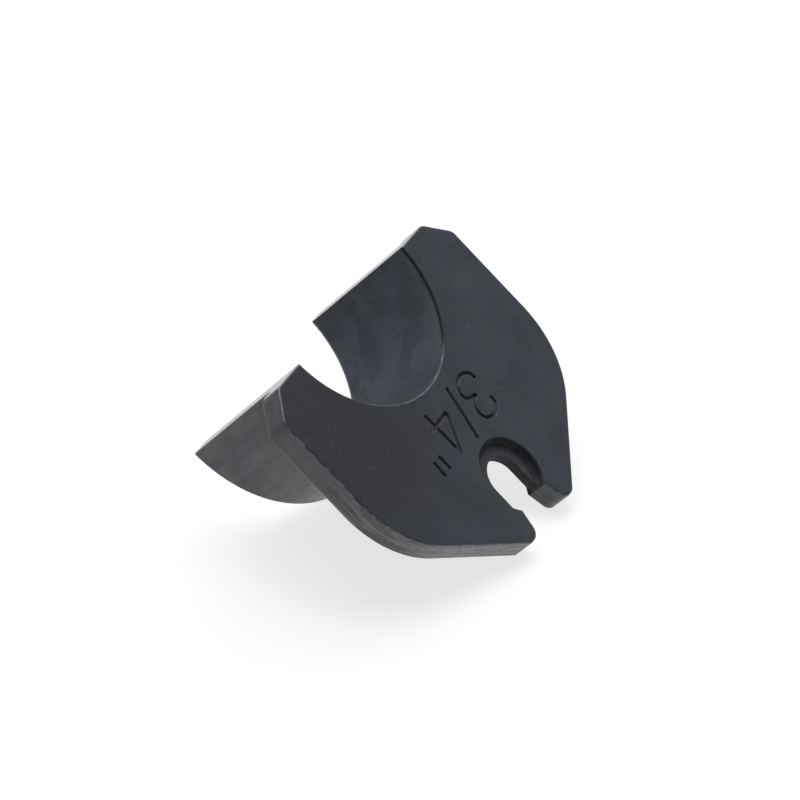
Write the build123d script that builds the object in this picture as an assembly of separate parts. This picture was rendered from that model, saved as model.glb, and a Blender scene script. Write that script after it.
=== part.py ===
from build123d import *
import os
from math import asin, atan2, degrees, hypot

# Press fitting tool jaw for 3/4 inch pipe: a flat plate with a half-round cradle
# standing behind it at one end and a slot for the tool's pin at the other.
#
# The jaw is drawn flat: front face on z = 0, cradle towards -z, pipe axis on z,
# slot towards +x. The plane y = 0 cuts it into two mirror halves.
# At the end it is laid down the way it rests on a table.

# Pipe cradle
pipe_d = 22.2            # outer diameter of the pipe that the jaw holds
pipe_gap = 0.15          # clearance between pipe and cradle, on the radius
cradle_wall = 2.5        # wall thickness of the cradle
cradle_l = 15.35         # front face to the cradle's far rim
mouth_x = 0.45           # pipe axis to the mouth plane

# Plate
plate_t = 2.7            # thickness
plate_w = 37.3           # width between the two straight sides
horn_land = 2.0          # how far each horn's end reaches out past the cradle
horn_cut = 2.7           # length of the slanted corner of each horn
shoulder_x = 19.05       # pipe axis to where straight and slanted side would meet
prong_x = 28.5           # pipe axis to the prong tips
prong_land = 1.6         # width of each prong's flat tip

# Slot for the tool's pin
slot_w = 4.7             # width
slot_x = 22.8            # pipe axis to the centre of the slot's round end
flare_l = 3.5            # length of the widening lead-in
flare_w = 6.5            # width of the lead-in at the prong tips
recess_d = 8.0           # diameter of the counterbore round the slot's end
recess_front = 0.9       # its depth in the front face
recess_r = 0.5           # fillet between its wall and its floor
recess_back = 0.75       # depth of the same counterbore in the back face, with a sharp floor

# Rounded corners of the outline
shoulder_r = 10.85       # straight side to slanted side
horn_r = 1.0             # both corners of each horn
tip_r = 1.0              # outer corner of each prong tip
flare_r = 1.2            # inner corner of each prong tip, at the lead-in

# Rounded edges
front_r = 0.2            # outline and bore edges of the front face
back_r = 0.2             # outline edges of the back face
rim_r = 0.75             # lead-in round the bore at the cradle's far rim
root_r = 0.5             # fillet between cradle and plate

# Worked out from the sizes above
bore_r = pipe_d / 2 + pipe_gap
cradle_r = bore_r + cradle_wall
horn_y = cradle_r + horn_land
flare_x = prong_x - flare_l
tip_y = flare_w / 2 + prong_land
through = 1.0            # how far a cutter runs past what it cuts


def near(a, b):
    return abs(a - b) < 0.001


def flat_at(z):
    """The jaw's edges that lie in the plane at this height."""
    return jaw.edges().filter_by(lambda e: near(e.bounding_box().min.Z, z) and near(e.bounding_box().max.Z, z))


# Outline of the plate, from one horn round the prongs to the other horn
half = [
    (mouth_x, horn_y),
    (mouth_x + horn_cut, plate_w / 2),
    (shoulder_x, plate_w / 2),
    (prong_x, tip_y),
    (prong_x, flare_w / 2),
    (flare_x, slot_w / 2),
    (slot_x, slot_w / 2),
]
other_half = [(x, -y) for x, y in reversed(half)]
outline = make_face(Polyline(*half, *other_half, close=True)) - Pos(slot_x, 0) * Circle(slot_w / 2)
corners = outline.vertices()
outline = fillet(corners.filter_by(lambda v: near(v.X, shoulder_x)), shoulder_r)
corners = outline.vertices()
outline = fillet(corners.filter_by(lambda v: v.X < mouth_x + horn_cut + 0.01), horn_r)
corners = outline.vertices()
outline = fillet(corners.filter_by(lambda v: near(v.X, prong_x) and near(abs(v.Y), tip_y)), tip_r)
corners = outline.vertices()
outline = fillet(corners.filter_by(lambda v: near(v.X, prong_x) and near(abs(v.Y), flare_w / 2)), flare_r)

# The cradle's wall, turned round the pipe axis and kept behind the mouth plane
wall = Plane.XZ * Pos((bore_r + cradle_r) / 2, -cradle_l / 2) * Rectangle(cradle_wall, cradle_l)
wall = fillet(wall.vertices().group_by(Axis.Z)[0].sort_by(Axis.X)[0], rim_r)
mouth_block = Pos(mouth_x, 0, -cradle_l) * Box(
    2 * cradle_r, 2 * cradle_r, 2 * cradle_l, align=(Align.MIN, Align.CENTER, Align.CENTER))
cradle = revolve(wall, Axis.Z) & mouth_block

# Plate and cradle in one
jaw = extrude(outline, -plate_t) - Cylinder(bore_r, 2 * plate_t + through) + cradle

# Edges of the back face, where the longest is the cradle's outer circle, and then of the front face
jaw = fillet(flat_at(-plate_t).sort_by(Edge.length)[-1], root_r)
jaw = fillet(flat_at(-plate_t).sort_by(Edge.length)[:-1], back_r)
jaw = fillet(flat_at(0), front_r)

# Counterbores round the slot's end, sharp at their rims, the front one with a rounded floor
recess = Cylinder(recess_d / 2, plate_t, align=(Align.CENTER, Align.CENTER, Align.MIN))
jaw -= Pos(slot_x, 0, recess_back - plate_t) * Rot(180, 0, 0) * recess
recess = fillet(recess.edges().sort_by(Axis.Z)[0], recess_r)
jaw -= Pos(slot_x, 0, -recess_front) * recess

# Laid down: it rests on the lowest point of the far rim and on both prong tips
run = prong_x - back_r - cradle_r
rise = cradle_l - (plate_t - back_r)
rest_angle = degrees(atan2(rise, run) - asin(back_r / hypot(run, rise)))
jaw = Rot(0, rest_angle, 0) * jaw
low = jaw.bounding_box().min
middle = jaw.bounding_box().center()
jaw = Pos(-middle.X, 0, -low.Z) * jaw

os.makedirs("parts", exist_ok=True)
export_step(jaw, "parts/jaw.step")
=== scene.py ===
import bpy
from math import radians
from mathutils import Matrix, Vector
from types import SimpleNamespace

# Press fitting tool jaw. The CAD node keeps its shape and gets its engraved size and its blackened steel.
# Floor, light and camera follow the photograph.
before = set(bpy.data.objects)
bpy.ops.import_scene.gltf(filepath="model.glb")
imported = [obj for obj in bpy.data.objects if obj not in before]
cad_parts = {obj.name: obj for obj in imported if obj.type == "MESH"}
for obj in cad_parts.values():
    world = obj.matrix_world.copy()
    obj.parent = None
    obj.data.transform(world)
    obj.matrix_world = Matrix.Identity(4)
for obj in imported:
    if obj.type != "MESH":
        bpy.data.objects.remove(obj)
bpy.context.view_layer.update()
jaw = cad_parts["jaw"]
scene = bpy.context.scene
scene.view_settings.view_transform = "Standard"

# Camera of the photograph
CAMERA = (0.179644, -0.383112, 0.293759)    # place in metres
TURN = 25.18                                # degrees
ELEVATION = 33.76
ROLL = -0.12
FOCAL_PX = 5322.3                           # focal length in pixels
IMAGE_PX = 800
SENSOR = 36.0                               # millimetres
NEAREST = 0.01                              # metres, where its view begins

# The jaw in the front face's own frame, in millimetres: x towards the slot, z the pipe axis
BORE_R = 11.25
CRADLE_R = 13.75
MOUTH_X = 0.45
SLOT_X = 22.8
RECESS_R = 4.0
SIZE_X = 15.3                               # middle of the engraved size
PAINTED_SHADE_SPOT = (9.0, -13.0)                      # middle of the darker patch of painted shade on the front

# Where that frame lies in the part's frame, because the jaw rests tilted
FACE_ORIGIN = (-5.886, 0, 20.605)           # millimetres
REST_ANGLE = 40.859                         # degrees about Y

# Engraved size on the front face, in millimetres, cut with a round cutter along these points
STROKE = 0.5                                # the cutter's diameter
STROKE_DEPTH = 0.1                          # how deep its middle lies
STROKE_ROUND = 3                            # Blender's bevel resolution for its round
STROKES = [
    # 3
    [(14.2, 5.79), (13.45, 5.66), (13.0, 5.1), (12.85, 4.3), (12.98, 3.5), (13.35, 2.9), (14.03, 2.53),
     (14.6, 2.6), (14.98, 3.1), (15.15, 3.7), (15.18, 4.21)],
    [(15.18, 4.17), (15.3, 3.6), (15.67, 3.0), (16.2, 2.67), (16.8, 2.62), (17.35, 2.85), (17.7, 3.4),
     (17.82, 4.1), (17.62, 4.9), (17.08, 5.45), (16.35, 5.56)],
    # slash
    [(12.59, 1.62), (18.06, -0.11)],
    # 4
    [(12.67, -3.46), (17.73, -3.33)],
    [(17.73, -3.33), (14.1, -0.84)],
    [(14.1, -0.84), (14.25, -4.25)],
    # inch mark
    [(16.21, -6.03), (17.96, -6.02)],
    [(16.2, -7.16), (18.04, -7.3)],
]
SAME_POINT = 1e-7                           # metres, joins the CAD mesh's doubled points before the cut
SLIVER = 1e-6                               # metres, closes the slivers that the cut leaves
SHARP = 28                                  # degrees, edges sharper than this are shaded sharp
FLAT_FIRST = 100                            # lets the large faces decide the shading

# Tones of the steel, with painted light and shade where marked. A pair is mixed patch by patch.
BLUISH = ((0.017, 0.019, 0.031, 1), (0.027, 0.031, 0.047, 1))
OLIVE = ((0.017, 0.0235, 0.027, 1), (0.0265, 0.035, 0.039, 1))
# Painted shade: the darker patch on the front face
PAINTED_SHADE_TONE = (0.0137, 0.0155, 0.0205, 1)
# Walls: the casting's mottling, at a lighter level than the front that is painted reflection of the floor
CAST_WITH_PAINTED_REFLECTION = ((0.048, 0.050, 0.054, 1), (0.090, 0.091, 0.094, 1))
# Outline walls: lighter than the front, painted reflection of the floor
OUTLINE_WITH_PAINTED_REFLECTION = ((0.038, 0.039, 0.041, 1), (0.058, 0.058, 0.059, 1))
# Painted shade on the outline walls near the horns
OUTLINE_HORN_PAINTED_SHADE = (0.014, 0.015, 0.017, 1)
BORE = ((0.020, 0.025, 0.066, 1), (0.020, 0.034, 0.052, 1))
# Painted shade towards the bore's -y side and painted light towards its +y side
BORE_PAINTED_SHADE_SIDE = (0.002, 0.003, 0.010, 1)
BORE_PAINTED_LIGHT_SIDE = (0.058, 0.066, 0.082, 1)
BORE_CLOUD = (0.004, 0.006, 0.014, 1)
# Painted highlight band just inside the bore's front, on its +y side
BORE_PAINTED_HIGHLIGHT = (0.050, 0.060, 0.060, 1)
# Painted reflection of the bright background on the cut faces of the mouth
MOUTH_PAINTED_REFLECTION = (0.12, 0.121, 0.125, 1)
# Painted shade: a dark line round the bore's front edge on its +y side
RIM_PAINTED_SHADE = (0.004, 0.005, 0.006, 1)
RECESS_FLOOR = (0.027, 0.029, 0.033, 1)
# Painted shade on the recess wall
RECESS_WALL_PAINTED_SHADE = (0.009, 0.010, 0.012, 1)
GROOVE = (0.034, 0.036, 0.040, 1)
SPECKLE = (0.033, 0.036, 0.041, 1)
BRUSHED = (0.13, 0.131, 0.133, 1)
WORN = (0.15, 0.155, 0.16, 1)
SCRATCHED = (0.11, 0.115, 0.12, 1)

# How strongly the marks cover what is under them. A pair is the weakest and the strongest.
# How strongly the bore's painted light covers its +y side
BORE_PAINTED_LIGHT_COVER = 0.9
BORE_CLOUD_COVER = (0.0, 0.4)
# the bore's painted highlight, weakest and strongest along the brushed lines
BORE_PAINTED_HIGHLIGHT_COVER = (0.3, 0.9)
SPECKLE_COVER = (0.2, 0.5)                  # at the bore and away from it
SPECKLE_IN_PAINTED_SHADE = (0.35, 1.0)               # its share in the patch of painted shade and away from it
BRUSHED_COVER = 0.85
BRUSHED_HORN = (0.2, 1.0)                   # its share near the horns and away from them
BRUSHED_SLOT = (0.25, 1.0)                  # its share in the slot and outside it
WORN_COVER = (0.1, 0.8)
SCRATCH_COVER = (0.25, 0.35)                # outside the bore and in it
SPECK_COVER = 0.35

# Gloss of the steel
IOR = 1.5
REFLECTION_TINT = (0.89, 0.92, 1, 1)
GRAIN_ROUGHNESS = (0.30, 0.42)
BORE_ROUGHER = 0.36
MOUTH_SMOOTHER = 0.16
HIDDEN_ROUGHER = 0.45

# Relief of the steel
RELIEF = 0.00004                            # metres, what a height of 1 stands for
RELIEF_STRENGTH = 0.25
GRAIN_HEIGHT = 0.5
LINE_HEIGHT = 0.4
SCRATCH_DEPTH = 0.5
BREAK_RADIUS = 0.00012                      # metres, how wide sharp edges are shaded as broken
BREAK_SAMPLES = 4

# Sets of scratches: turn in degrees, place in the noise, how dense they are
SCRATCHES = [(25, 3.1, 1.3), (-50, 11.7, 1.6), (72, 23.9, 1.1), (110, 5.3, 1.9)]

# Floor
FLOOR_SIZE = 4                              # metres
FLOOR_COLOUR = (0.9, 0.9, 0.9, 1)
FLOOR_WHITE = 0.75                          # share of its look, to the camera, that is white and shadowless

# The room is darkest behind the camera, brightest behind the object on its left, and pale at the horizon
ROOM_DARK = 0.1
ROOM_BRIGHT = 1.3
BRIGHT_SIDE = (-0.496, 0.744, 0.447)
BRIGHT_SLOPE = 0.77
BRIGHT_SHIFT = 0.23
BRIGHT_POWER = 3.0
PALE_BELOW = (0.09, 0.16)                   # upward part of the direction, where the pale band fades

# Overhead lamp
LAMP = (-0.1, 0.2, 0.75)                    # place in metres
LAMP_SIZE = 0.7
LAMP_WATTS = 6.5


def add_camera():
    """The photograph's view of the jaw."""
    data = bpy.data.cameras.new("camera")
    data.sensor_width = SENSOR
    data.lens = FOCAL_PX / IMAGE_PX * SENSOR
    data.clip_start = NEAREST
    camera = bpy.data.objects.new("camera", data)
    turn = (
        Matrix.Rotation(radians(TURN), 4, "Z")
        @ Matrix.Rotation(radians(90 - ELEVATION), 4, "X")
        @ Matrix.Rotation(radians(ROLL), 4, "Z")
    )
    camera.matrix_world = Matrix.Translation(CAMERA) @ turn
    scene.collection.objects.link(camera)
    scene.camera = camera


def add_lamp():
    """A large soft lamp overhead, pointed at the middle of the floor."""
    data = bpy.data.lights.new("overhead", "AREA")
    data.shape = "SQUARE"
    data.size = LAMP_SIZE
    data.energy = LAMP_WATTS
    lamp = bpy.data.objects.new("overhead", data)
    lamp.location = LAMP
    lamp.rotation_euler = (-Vector(LAMP)).to_track_quat("-Z", "Y").to_euler()
    scene.collection.objects.link(lamp)


def face_frame():
    """From the front face's own frame in millimetres to the part's frame in metres."""
    place = Matrix.Translation(Vector(FACE_ORIGIN) / 1000)
    return place @ Matrix.Rotation(radians(REST_ANGLE), 4, "Y") @ Matrix.Scale(0.001, 4)


def stroke_mesh():
    """The round cutter swept along every stroke, in the part's frame."""
    curve = bpy.data.curves.new("strokes", "CURVE")
    curve.dimensions = "3D"
    curve.bevel_depth = STROKE / 2
    curve.bevel_resolution = STROKE_ROUND
    curve.use_fill_caps = True
    for points in STROKES:
        line = curve.splines.new("POLY")
        line.points.add(len(points) - 1)
        for point, (x, y) in zip(line.points, points):
            point.co = (x, y, -STROKE_DEPTH, 1)
    drawn = bpy.data.objects.new("strokes", curve)
    mesh = bpy.data.meshes.new_from_object(drawn)
    bpy.data.objects.remove(drawn)
    mesh.transform(face_frame())
    return mesh


def engrave():
    """Cuts the strokes into the jaw as round-bottomed grooves and keeps its flat faces flat in shading."""
    cutter = bpy.data.objects.new("engraving_cutter", stroke_mesh())
    cutter.hide_render = True
    cutter.hide_viewport = True
    scene.collection.objects.link(cutter)
    weld = jaw.modifiers.new("weld", "WELD")
    weld.merge_threshold = SAME_POINT
    cut = jaw.modifiers.new("engraving", "BOOLEAN")
    cut.object = cutter
    cut.use_self = True
    clean = jaw.modifiers.new("clean", "WELD")
    clean.merge_threshold = SLIVER
    split = jaw.modifiers.new("sharp_edges", "EDGE_SPLIT")
    split.split_angle = radians(SHARP)
    normals = jaw.modifiers.new("normals", "WEIGHTED_NORMAL")
    normals.weight = FLAT_FIRST


class Tree:
    """Short calls for building a node tree."""

    def __init__(self, tree):
        self.nodes = tree.nodes
        self.links = tree.links

    def put(self, socket, value):
        if isinstance(value, bpy.types.NodeSocket):
            self.links.new(value, socket)
        else:
            socket.default_value = value

    def math(self, operation, a, b=0.0, clamp=False):
        node = self.nodes.new("ShaderNodeMath")
        node.operation = operation
        node.use_clamp = clamp
        self.put(node.inputs[0], a)
        self.put(node.inputs[1], b)
        return node.outputs[0]

    def product(self, first, *others):
        for other in others:
            first = self.math("MULTIPLY", first, other)
        return first

    def dot(self, vector, direction):
        node = self.nodes.new("ShaderNodeVectorMath")
        node.operation = "DOT_PRODUCT"
        self.put(node.inputs[0], vector)
        node.inputs[1].default_value = direction
        return node.outputs["Value"]

    def distance(self, vector, x=0.0, y=0.0, y_scale=1.0):
        """How far a point is from the line through x, y along z, with y counted y_scale times."""
        node = self.nodes.new("ShaderNodeVectorMath")
        node.operation = "LENGTH"
        self.put(node.inputs[0], self.mapping(vector, scale=(1, y_scale, 0), location=(-x, -y * y_scale, 0)))
        return node.outputs["Value"]

    def span(self, value, low, high, to_low=0.0, to_high=1.0):
        """Maps low..high smoothly to to_low..to_high."""
        node = self.nodes.new("ShaderNodeMapRange")
        node.interpolation_type = "SMOOTHSTEP"
        self.put(node.inputs["Value"], value)
        node.inputs["From Min"].default_value = low
        node.inputs["From Max"].default_value = high
        node.inputs["To Min"].default_value = to_low
        node.inputs["To Max"].default_value = to_high
        return node.outputs["Result"]

    def above(self, value, low, high):
        """0 up to low and 1 from high on."""
        return self.span(value, low, high)

    def below(self, value, low, high):
        """1 up to low and 0 from high on."""
        return self.span(value, low, high, 1.0, 0.0)

    def noise(self, vector, scale, detail=2.0, roughness=0.5, distortion=0.0):
        node = self.nodes.new("ShaderNodeTexNoise")
        self.put(node.inputs["Vector"], vector)
        node.inputs["Scale"].default_value = scale
        node.inputs["Detail"].default_value = detail
        node.inputs["Roughness"].default_value = roughness
        node.inputs["Distortion"].default_value = distortion
        return node.outputs["Fac"]

    def mapping(self, vector, scale=(1, 1, 1), rotation=(0, 0, 0), location=(0, 0, 0)):
        node = self.nodes.new("ShaderNodeMapping")
        self.put(node.inputs["Vector"], vector)
        node.inputs["Scale"].default_value = scale
        node.inputs["Rotation"].default_value = rotation
        node.inputs["Location"].default_value = location
        return node.outputs["Vector"]

    def mix(self, factor, a, b):
        node = self.nodes.new("ShaderNodeMix")
        node.data_type = "RGBA"
        self.put(node.inputs["Factor"], factor)
        self.put(node.inputs["A"], a)
        self.put(node.inputs["B"], b)
        return node.outputs["Result"]


def new_material(name):
    material = bpy.data.materials.new(name)
    material.use_nodes = True
    return material, material.node_tree.nodes["Principled BSDF"], Tree(material.node_tree)


def places(tree):
    """Where a point of the surface lies on the jaw, in the front face's own frame, in millimetres."""
    part = tree.nodes.new("ShaderNodeTexCoord").outputs["Object"]
    flat = tree.mapping(part, scale=(1000, 1000, 1000), location=[-value for value in FACE_ORIGIN])
    flat = tree.mapping(flat, rotation=(0, -radians(REST_ANGLE), 0))
    normal = tree.nodes.new("ShaderNodeNewGeometry").outputs["Normal"]
    face_normal = Matrix.Rotation(radians(REST_ANGLE), 3, "Y") @ Vector((0, 0, 1))
    return SimpleNamespace(
        flat=flat,
        ahead=tree.dot(flat, (1, 0, 0)),
        side=tree.dot(flat, (0, 1, 0)),
        depth=tree.dot(flat, (0, 0, -1)),
        from_axis=tree.distance(flat),
        from_slot=tree.distance(flat, SLOT_X),
        from_size=tree.distance(flat, SIZE_X, y_scale=0.4),     # an oval, as the size is longer along y
        # distance from the middle of the patch of painted shade on the front
        from_painted_shade=tree.distance(flat, *PAINTED_SHADE_SPOT),
        facing=tree.math("ABSOLUTE", tree.dot(normal, face_normal)),    # 1 on front and back, 0 on a wall
    )


def textures(tree, flat):
    """Noises that more than one look uses: hue and grain of the finish, cast mottling, brushed lines."""
    cast = tree.noise(tree.mapping(flat, scale=(1, 1, 0.45)), 0.55, detail=5.0, roughness=0.68)
    lengthwise = tree.mapping(flat, scale=(0.12, 0.12, 1.3))
    return SimpleNamespace(
        hue=tree.above(tree.noise(flat, 0.45, detail=3.0, roughness=0.6), 0.42, 0.6),
        grain=tree.noise(flat, 2.2, detail=4.0, roughness=0.65),
        cast=tree.above(cast, 0.36, 0.64),
        brushed=tree.noise(lengthwise, 1.8, detail=4.0, roughness=0.7),
    )


def zones(tree, at):
    """Masks of the jaw's surfaces, 1 on a surface and 0 off it.

    A wall stands square to the front face. The outline is the plate's own wall, and the mouth is the cut
    faces. The rim is the bore's front edge on its +y side, painted as a line of shade. The groove is the
    engraved size.
    """
    wall = tree.below(at.facing, 0.1, 0.35)
    outside_bore = tree.above(at.from_axis, BORE_R - 0.05, BORE_R + 0.05)
    in_recess = tree.below(at.from_slot, RECESS_R, RECESS_R + 0.1)
    groove_depth = tree.product(tree.above(at.depth, 0.02, 0.12), tree.below(at.depth, 0.5, 0.6))
    rim_width = tree.below(at.from_axis, BORE_R + 0.12, BORE_R + 0.22)
    return SimpleNamespace(
        wall=wall,
        outline=tree.product(wall, tree.above(at.from_axis, CRADLE_R + 0.1, CRADLE_R + 0.6)),
        bore=tree.below(at.from_axis, BORE_R + 0.02, BORE_R + 0.12),
        mouth=tree.product(tree.below(at.ahead, MOUTH_X + 0.03, MOUTH_X + 0.08), outside_bore),
        rim=tree.product(rim_width, tree.above(at.side, 4, 7), tree.below(at.depth, 0.2, 0.35)),
        recess=tree.product(in_recess, tree.above(at.depth, 0.05, 0.3)),
        groove=tree.product(groove_depth, tree.below(at.from_size, 3.3, 3.4)),
        # 1 away from the patch of painted shade on the front, 0 in it
        outside_painted_shade=tree.above(at.from_painted_shade, 4, 17),
    )


def front_tone(tree, at, on, look):
    """Small bluish and olive patches all over, and one dark patch of painted shade."""
    patches = tree.above(tree.noise(at.flat, 0.16, detail=3.0, roughness=0.55), 0.38, 0.62)
    tone = tree.mix(look.hue, tree.mix(patches, *BLUISH), tree.mix(patches, *OLIVE))
    return tree.mix(on.outside_painted_shade, PAINTED_SHADE_TONE, tone)


def outline_tone(tree, at, look):
    """The walls of the plate's outline, lighter than the front as painted reflection of the floor, with
    painted shade darkest at the horns.
    """
    return tree.mix(tree.below(at.ahead, 2.0, 5.0), tree.mix(look.cast, *OUTLINE_WITH_PAINTED_REFLECTION), OUTLINE_HORN_PAINTED_SHADE)


def bore_tone(tree, at, look):
    """Bluish, with painted shade towards -y and painted light towards +y, with clouds and a painted highlight
    near the front of its +y side, broken up by brushed lines.
    """
    tone = tree.mix(look.hue, *BORE)
    tone = tree.mix(tree.above(at.side, -1, 10), BORE_PAINTED_SHADE_SIDE, tone)
    tone = tree.mix(tree.product(tree.above(at.side, 3, 9), BORE_PAINTED_LIGHT_COVER), tone, BORE_PAINTED_LIGHT_SIDE)
    clouds = tree.span(tree.noise(at.flat, 0.28, detail=3.0, roughness=0.6), 0.4, 0.6, *BORE_CLOUD_COVER)
    tone = tree.mix(clouds, tone, BORE_CLOUD)
    # painted highlight near the front of the bore's +y side, broken up by the brushed lines
    painted_highlight = tree.product(tree.below(at.depth, 1.0, 2.4), tree.above(at.side, 3, 8))
    painted_highlight = tree.product(painted_highlight, tree.span(look.brushed, 0.35, 0.6, *BORE_PAINTED_HIGHLIGHT_COVER))
    return tree.mix(painted_highlight, tone, BORE_PAINTED_HIGHLIGHT)


def surface_tone(tree, at, on, look):
    """The finish of every surface with its painted light and shade, each laid over the one before."""
    tone = front_tone(tree, at, on, look)
    # walls: cast mottling with painted reflection of the floor
    tone = tree.mix(on.wall, tone, tree.mix(look.cast, *CAST_WITH_PAINTED_REFLECTION))
    tone = tree.mix(on.outline, tone, outline_tone(tree, at, look))
    tone = tree.mix(on.bore, tone, bore_tone(tree, at, look))
    # painted reflection on the cut faces of the mouth
    tone = tree.mix(on.mouth, tone, MOUTH_PAINTED_REFLECTION)
    # painted shade along the bore's rim
    tone = tree.mix(on.rim, tone, RIM_PAINTED_SHADE)
    # the recess wall gets painted shade, its floor a plain tone
    recess_wall = tree.above(at.from_slot, RECESS_R - 0.9, RECESS_R - 0.55)
    tone = tree.mix(on.recess, tone, tree.mix(recess_wall, RECESS_FLOOR, RECESS_WALL_PAINTED_SHADE))
    tone = tree.mix(on.groove, tone, GROOVE)
    off_bore = tree.span(at.from_axis, BORE_R + 0.2, BORE_R + 0.7, *SPECKLE_COVER)
    # fewer specks in the patch of painted shade
    off_painted_shade = tree.span(on.outside_painted_shade, 0, 1, *SPECKLE_IN_PAINTED_SHADE)
    speckle = tree.product(tree.above(look.grain, 0.3, 0.75), off_bore, off_painted_shade)
    return tree.mix(speckle, tone, SPECKLE)


def brushed_lines(tree, at, on, look):
    """Lines along the walls of the outline, fainter near the horns and inside the slot."""
    machined = tree.product(
        tree.span(at.ahead, 8, 15, *BRUSHED_HORN),
        tree.span(tree.math("ABSOLUTE", at.side), 4.2, 5.2, *BRUSHED_SLOT),
    )
    return tree.product(on.outline, tree.above(look.brushed, 0.46, 0.58), machined)


def worn_edges(tree, at, hidden):
    """Rounded edges rubbed bare in places, except at the bore's dark rim and in the recess and grooves."""
    rounded = tree.product(tree.above(at.facing, 0.12, 0.3), tree.below(at.facing, 0.8, 0.96))
    chips = tree.span(tree.noise(at.flat, 0.9, detail=4.0, roughness=0.7), 0.42, 0.62, *WORN_COVER)
    return tree.product(rounded, chips, tree.math("SUBTRACT", 1.0, hidden))


def scratches(tree, flat, turn, seed, density):
    """Thin broken lines in one direction, 1 on a scratch and 0 off it."""
    along = tree.mapping(flat, rotation=(0, 0, radians(turn)), location=(seed, seed, 0))
    stretched = tree.mapping(along, scale=(0.09, 1, 1))
    line = tree.noise(stretched, density, detail=1.0, distortion=0.25)
    ridge = tree.math("ABSOLUTE", tree.math("SUBTRACT", line, 0.5))
    broken = tree.above(tree.noise(along, 0.45), 0.54, 0.66)
    return tree.product(tree.below(ridge, 0.0, 0.008), broken)


def fine_marks(tree, at, on):
    """Scratches, a little stronger in the bore, and small rubbed specks."""
    marks = 0.0
    for turn, seed, density in SCRATCHES:
        marks = tree.math("MAXIMUM", marks, scratches(tree, at.flat, turn, seed, density))
    marks = tree.product(marks, tree.span(on.bore, 0, 1, *SCRATCH_COVER))
    specks = tree.above(tree.noise(at.flat, 5.5, detail=1.0), 0.72, 0.78)
    return tree.math("MAXIMUM", marks, tree.product(specks, SPECK_COVER))


def roughness(tree, on, look, hidden):
    """Rougher in the bore and in what is hidden from rubbing, smoother on the cut faces of the mouth."""
    rough = tree.span(look.grain, 0.3, 0.75, *GRAIN_ROUGHNESS)
    rough = tree.math("ADD", rough, tree.product(on.bore, BORE_ROUGHER))
    rough = tree.math("SUBTRACT", rough, tree.product(on.mouth, MOUTH_SMOOTHER))
    return tree.math("ADD", rough, tree.product(hidden, HIDDEN_ROUGHER))


def relief(tree, look, lines, marks):
    """Normals with slightly broken edges and the bump of grain, brushed lines and scratches."""
    height = tree.math("ADD", tree.product(look.grain, GRAIN_HEIGHT), tree.product(lines, LINE_HEIGHT))
    height = tree.math("SUBTRACT", height, tree.product(marks, SCRATCH_DEPTH))
    broken = tree.nodes.new("ShaderNodeBevel")
    broken.samples = BREAK_SAMPLES
    broken.inputs["Radius"].default_value = BREAK_RADIUS
    bump = tree.nodes.new("ShaderNodeBump")
    bump.inputs["Strength"].default_value = RELIEF_STRENGTH
    bump.inputs["Distance"].default_value = RELIEF
    tree.put(bump.inputs["Height"], height)
    tree.put(bump.inputs["Normal"], broken.outputs["Normal"])
    return bump.outputs["Normal"]


def black_steel():
    """Blackened steel with a finish for each surface of the jaw, rubbed edges and fine scratches."""
    material, shader, tree = new_material("blackened_steel")
    at = places(tree)
    look = textures(tree, at.flat)
    on = zones(tree, at)
    hidden = tree.math("MAXIMUM", tree.math("MAXIMUM", on.recess, on.groove), on.rim)
    lines = brushed_lines(tree, at, on, look)
    marks = fine_marks(tree, at, on)
    tone = surface_tone(tree, at, on, look)
    tone = tree.mix(tree.product(lines, BRUSHED_COVER), tone, BRUSHED)
    tone = tree.mix(worn_edges(tree, at, hidden), tone, WORN)
    tone = tree.mix(marks, tone, SCRATCHED)
    tree.put(shader.inputs["Base Color"], tone)
    tree.put(shader.inputs["Roughness"], roughness(tree, on, look, hidden))
    tree.put(shader.inputs["Normal"], relief(tree, look, lines, marks))
    shader.inputs["IOR"].default_value = IOR
    shader.inputs["Specular Tint"].default_value = REFLECTION_TINT
    return material


def add_floor():
    """A pale floor that keeps a faint shadow and shows as plain white in reflections."""
    bpy.ops.mesh.primitive_plane_add(size=FLOOR_SIZE)
    plane = bpy.context.object
    plane.name = "floor"
    material, shader, tree = new_material("floor")
    shader.inputs["Base Color"].default_value = FLOOR_COLOUR
    shader.inputs["Roughness"].default_value = 1.0
    shader.inputs["Specular IOR Level"].default_value = 0.0
    white = tree.nodes.new("ShaderNodeEmission")
    both = tree.nodes.new("ShaderNodeMixShader")
    path = tree.nodes.new("ShaderNodeLightPath")
    mirrored = tree.math("MAXIMUM", path.outputs["Is Glossy Ray"], path.outputs["Is Transmission Ray"])
    direct = tree.product(path.outputs["Is Camera Ray"], FLOOR_WHITE)
    tree.put(both.inputs[0], tree.math("MAXIMUM", mirrored, direct))
    tree.put(both.inputs[1], shader.outputs[0])
    tree.put(both.inputs[2], white.outputs[0])
    tree.put(tree.nodes["Material Output"].inputs["Surface"], both.outputs[0])
    plane.data.materials.append(material)


def add_world():
    """A plain white room whose light changes softly with the direction."""
    scene.world = bpy.data.worlds.new("world")
    scene.world.use_nodes = True
    tree = Tree(scene.world.node_tree)
    background = tree.nodes["Background"]
    background.inputs["Color"].default_value = (1, 1, 1, 1)
    way = tree.nodes.new("ShaderNodeTexCoord").outputs["Generated"]
    towards = tree.product(tree.dot(way, BRIGHT_SIDE), BRIGHT_SLOPE)
    towards = tree.math("ADD", towards, BRIGHT_SHIFT, clamp=True)
    room = tree.product(tree.math("POWER", towards, BRIGHT_POWER), ROOM_BRIGHT)
    room = tree.math("ADD", room, ROOM_DARK)
    pale = tree.below(tree.dot(way, (0, 0, 1)), *PALE_BELOW)
    tree.put(background.inputs["Strength"], tree.math("MAXIMUM", pale, room))


jaw.data.materials.clear()
jaw.data.materials.append(black_steel())
engrave()
add_floor()
add_world()
add_camera()
add_lamp()
